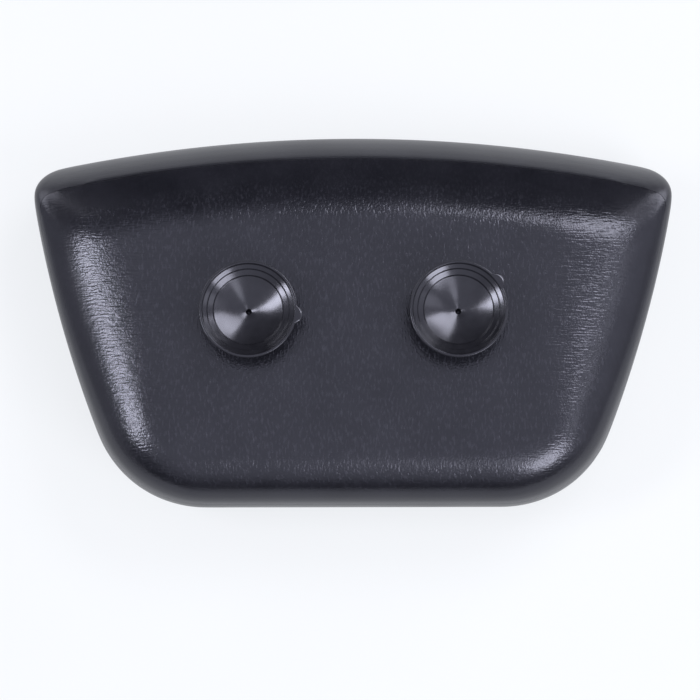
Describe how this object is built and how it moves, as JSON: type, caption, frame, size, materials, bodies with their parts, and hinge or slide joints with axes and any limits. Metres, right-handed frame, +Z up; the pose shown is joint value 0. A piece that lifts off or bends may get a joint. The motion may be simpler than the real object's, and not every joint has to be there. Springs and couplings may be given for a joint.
{
  "type": "bath pillow",
  "caption": "Bath pillow of soft skinned foam, tapered to its bottom edge, with rolled edges and a sloping top, held to a bath wall by swivelling suction cups.",
  "frame": {"origin": "on the table, under the middle of the pillow's bounding box, with the pillow lying on its front face", "axes": "+X along the pillow's width, to the right in the picture; +Y to its top edge; +Z up from the table through the back and the cups"},
  "size_m": [0.2992, 0.177, 0.0765],
  "materials": {
    "skin": "satin",
    "foam": "matte",
    "socket": "matte",
    "cup": "gloss"
  },
  "bodies": {
    "pillow": {"front_skin": "skin", "back_skin": "skin", "foam_core": "foam", "left_cup_socket": "socket", "right_cup_socket": "socket", "left_socket_cap": "socket", "right_socket_cap": "socket"},
    "left_stem": {"left_cup_stem": "cup"},
    "left_skirt": {"left_cup_skirt": "cup"},
    "right_stem": {"right_cup_stem": "cup"},
    "right_skirt": {"right_cup_skirt": "cup"}
  },
  "joints": [
    {"name": "left_cup_spin", "type": "hinge", "parent": "pillow", "child": "left_stem", "pos_m": [-0.0475, -0.003, 0.062], "axis": [0, 0, 1], "continuous": true},
    {"name": "left_cup_tilt", "type": "hinge", "parent": "left_stem", "child": "left_skirt", "pos_m": [-0.0475, -0.003, 0.062], "axis": [1, 0, 0], "range_deg": [-12, 12], "stiffness_Nm_per_rad": 0.1},
    {"name": "right_cup_spin", "type": "hinge", "parent": "pillow", "child": "right_stem", "pos_m": [0.0475, -0.003, 0.062], "axis": [0, 0, 1], "continuous": true},
    {"name": "right_cup_tilt", "type": "hinge", "parent": "right_stem", "child": "right_skirt", "pos_m": [0.0475, -0.003, 0.062], "axis": [1, 0, 0], "range_deg": [-12, 12], "stiffness_Nm_per_rad": 0.1}
  ]
}
